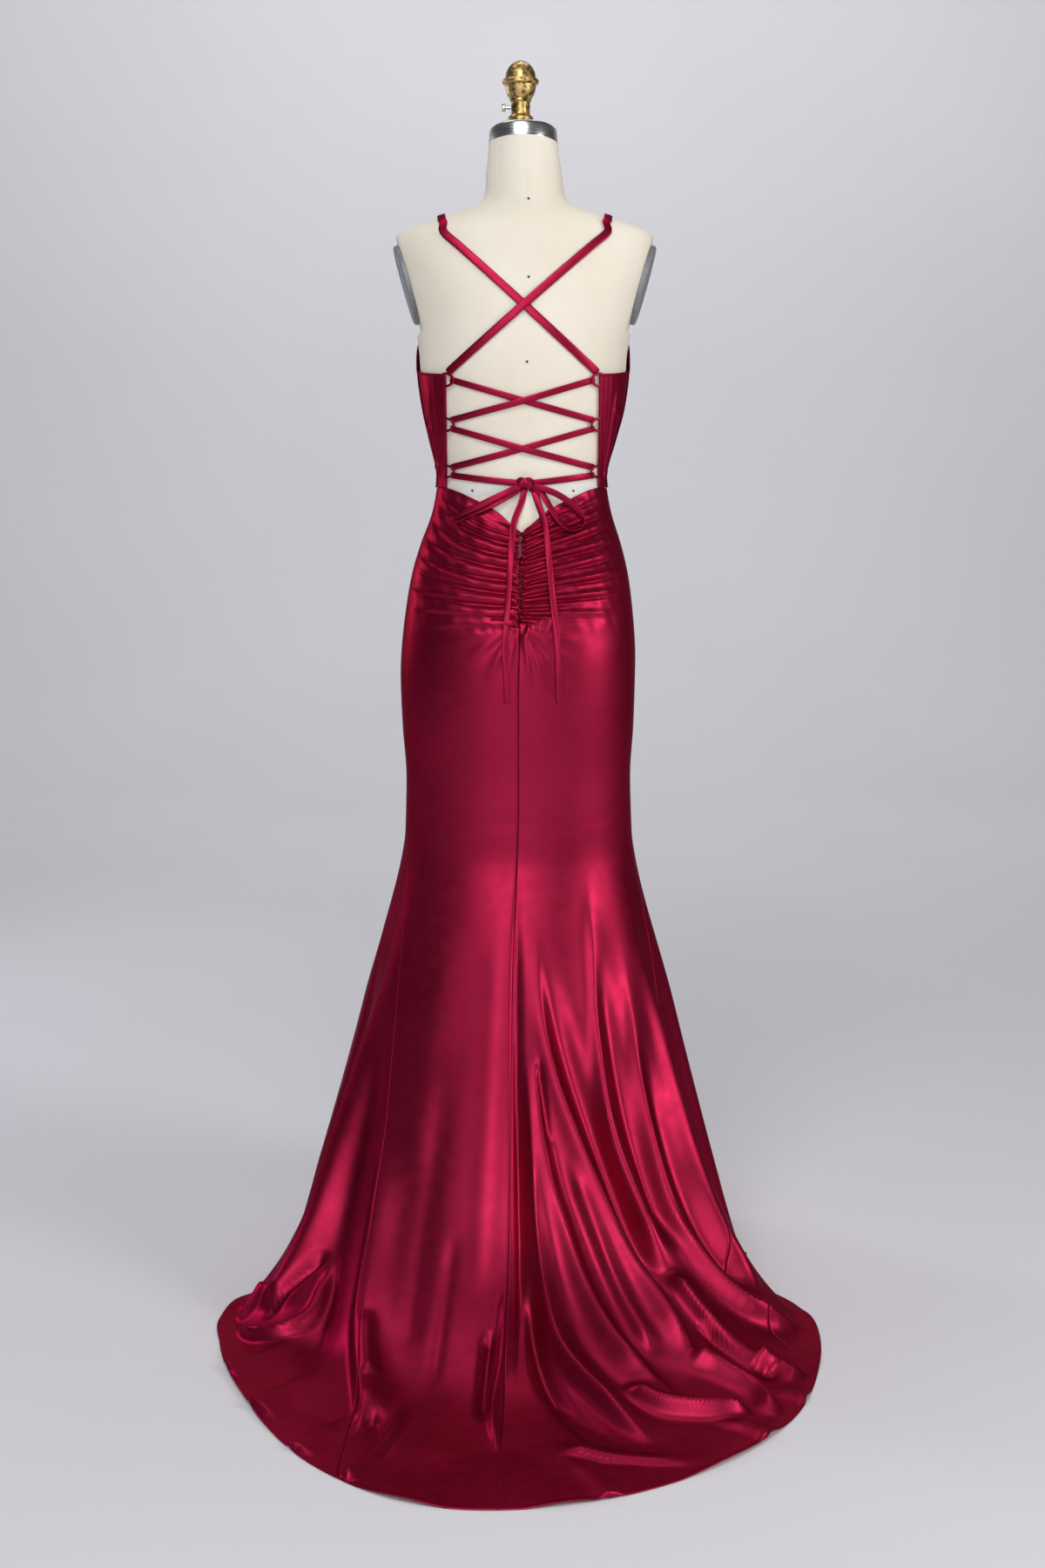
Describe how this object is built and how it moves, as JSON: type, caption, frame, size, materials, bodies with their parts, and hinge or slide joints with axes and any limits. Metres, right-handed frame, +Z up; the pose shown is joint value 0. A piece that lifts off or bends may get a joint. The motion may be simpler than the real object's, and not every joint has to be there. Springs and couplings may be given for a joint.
{
  "type": "mermaid prom dress on a dress form",
  "caption": "Satin mermaid gown with a laced open back, ruched seat and long train, worn by a limbless dress form on a pole with a round base.",
  "frame": {"origin": "middle of the underside of the stand's round base, on the floor under the form's pole", "axes": "+Z up along the pole, +Y towards the laced back and the train, +X towards the wearer's left"},
  "size_m": [0.7809, 1.0979, 1.651],
  "materials": {
    "satin": "crimson stretch satin with a soft, strong sheen",
    "canvas": "cream cotton canvas, matt, a little aged",
    "gilding": "antique gilt, mottled and rubbed",
    "cap_steel": "brushed steel",
    "screw_steel": "bright turned steel",
    "plate_paint": "grey satin paint",
    "zip_metal": "dark wine enamel",
    "stand_paint": "black powder coat"
  },
  "bodies": {
    "gown_and_form": {"bodice_front": "satin", "bodice_back_left": "satin", "bodice_back_right": "satin", "placket_left": "satin", "placket_right": "satin", "skirt_front": "satin", "skirt_back_left": "satin", "skirt_back_right": "satin", "strap_left": "satin", "strap_right": "satin", "lace_loop_left_1": "satin", "lace_loop_left_2": "satin", "lace_loop_left_3": "satin", "lace_loop_right_1": "satin", "lace_loop_right_2": "satin", "lace_loop_right_3": "satin", "lace_left_1": "satin", "lace_left_2": "satin", "lace_left_3": "satin", "lace_right_1": "satin", "lace_right_2": "satin", "lace_right_3": "satin", "lace_knot": "satin", "bow_left": "satin", "bow_right": "satin", "tail_left": "satin", "tail_right": "satin", "zip_slider": "zip_metal", "form_torso": "canvas", "neck_cap": "cap_steel", "finial": "gilding", "arm_plate_left": "plate_paint", "arm_plate_right": "plate_paint", "pole": "stand_paint", "base": "stand_paint"},
    "zip_pull": {"zip_pull": "zip_metal"},
    "neck_screw": {"neck_screw": "screw_steel"}
  },
  "joints": [
    {"name": "zip_pull_swing", "type": "hinge", "parent": "gown_and_form", "child": "zip_pull", "pos_m": [0.0031, 0.0926, 1.0135], "axis": [1, 0, 0], "range_deg": [0, 100]},
    {"name": "neck_screw_turn", "type": "hinge", "parent": "gown_and_form", "child": "neck_screw", "pos_m": [0.02, -0.008, 1.59], "axis": [1, 0, 0], "continuous": true}
  ]
}
